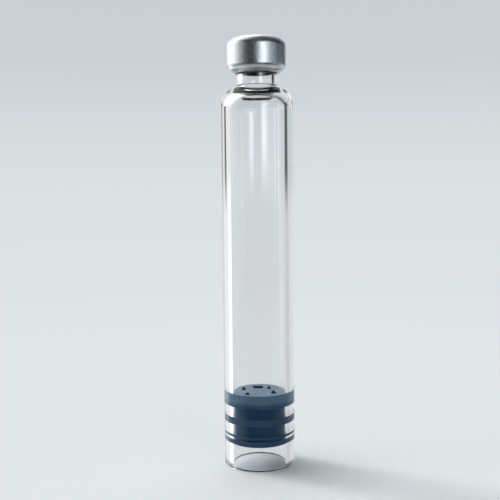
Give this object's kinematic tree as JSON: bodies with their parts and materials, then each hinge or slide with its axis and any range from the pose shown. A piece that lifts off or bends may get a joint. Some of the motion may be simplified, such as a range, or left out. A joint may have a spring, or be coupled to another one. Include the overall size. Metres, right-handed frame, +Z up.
{
  "type": "glass cartridge",
  "caption": "Clear glass cartridge, open at the foot, with a crimped aluminium cap over a rubber septum and a ribbed rubber plunger in the bore.",
  "frame": {"origin": "centre of the open end's rim, on the face that the cartridge stands on", "axes": "+Z up along the barrel's axis, from the open end to the capped end"},
  "size_m": [0.0096, 0.0096, 0.0577],
  "materials": {
    "clear_glass": "polished",
    "satin_aluminium": "satin",
    "septum_rubber": "matte",
    "plunger_rubber": "matte"
  },
  "bodies": {
    "barrel": {"glass_barrel": "clear_glass", "crimp_cap": "satin_aluminium", "septum": "septum_rubber"},
    "plunger": {"plunger": "plunger_rubber"}
  },
  "joints": [
    {"name": "plunger_slide", "type": "slide", "parent": "barrel", "child": "plunger", "axis": [0, 0, 1], "range_m": [-0.0025, 0.038]}
  ]
}
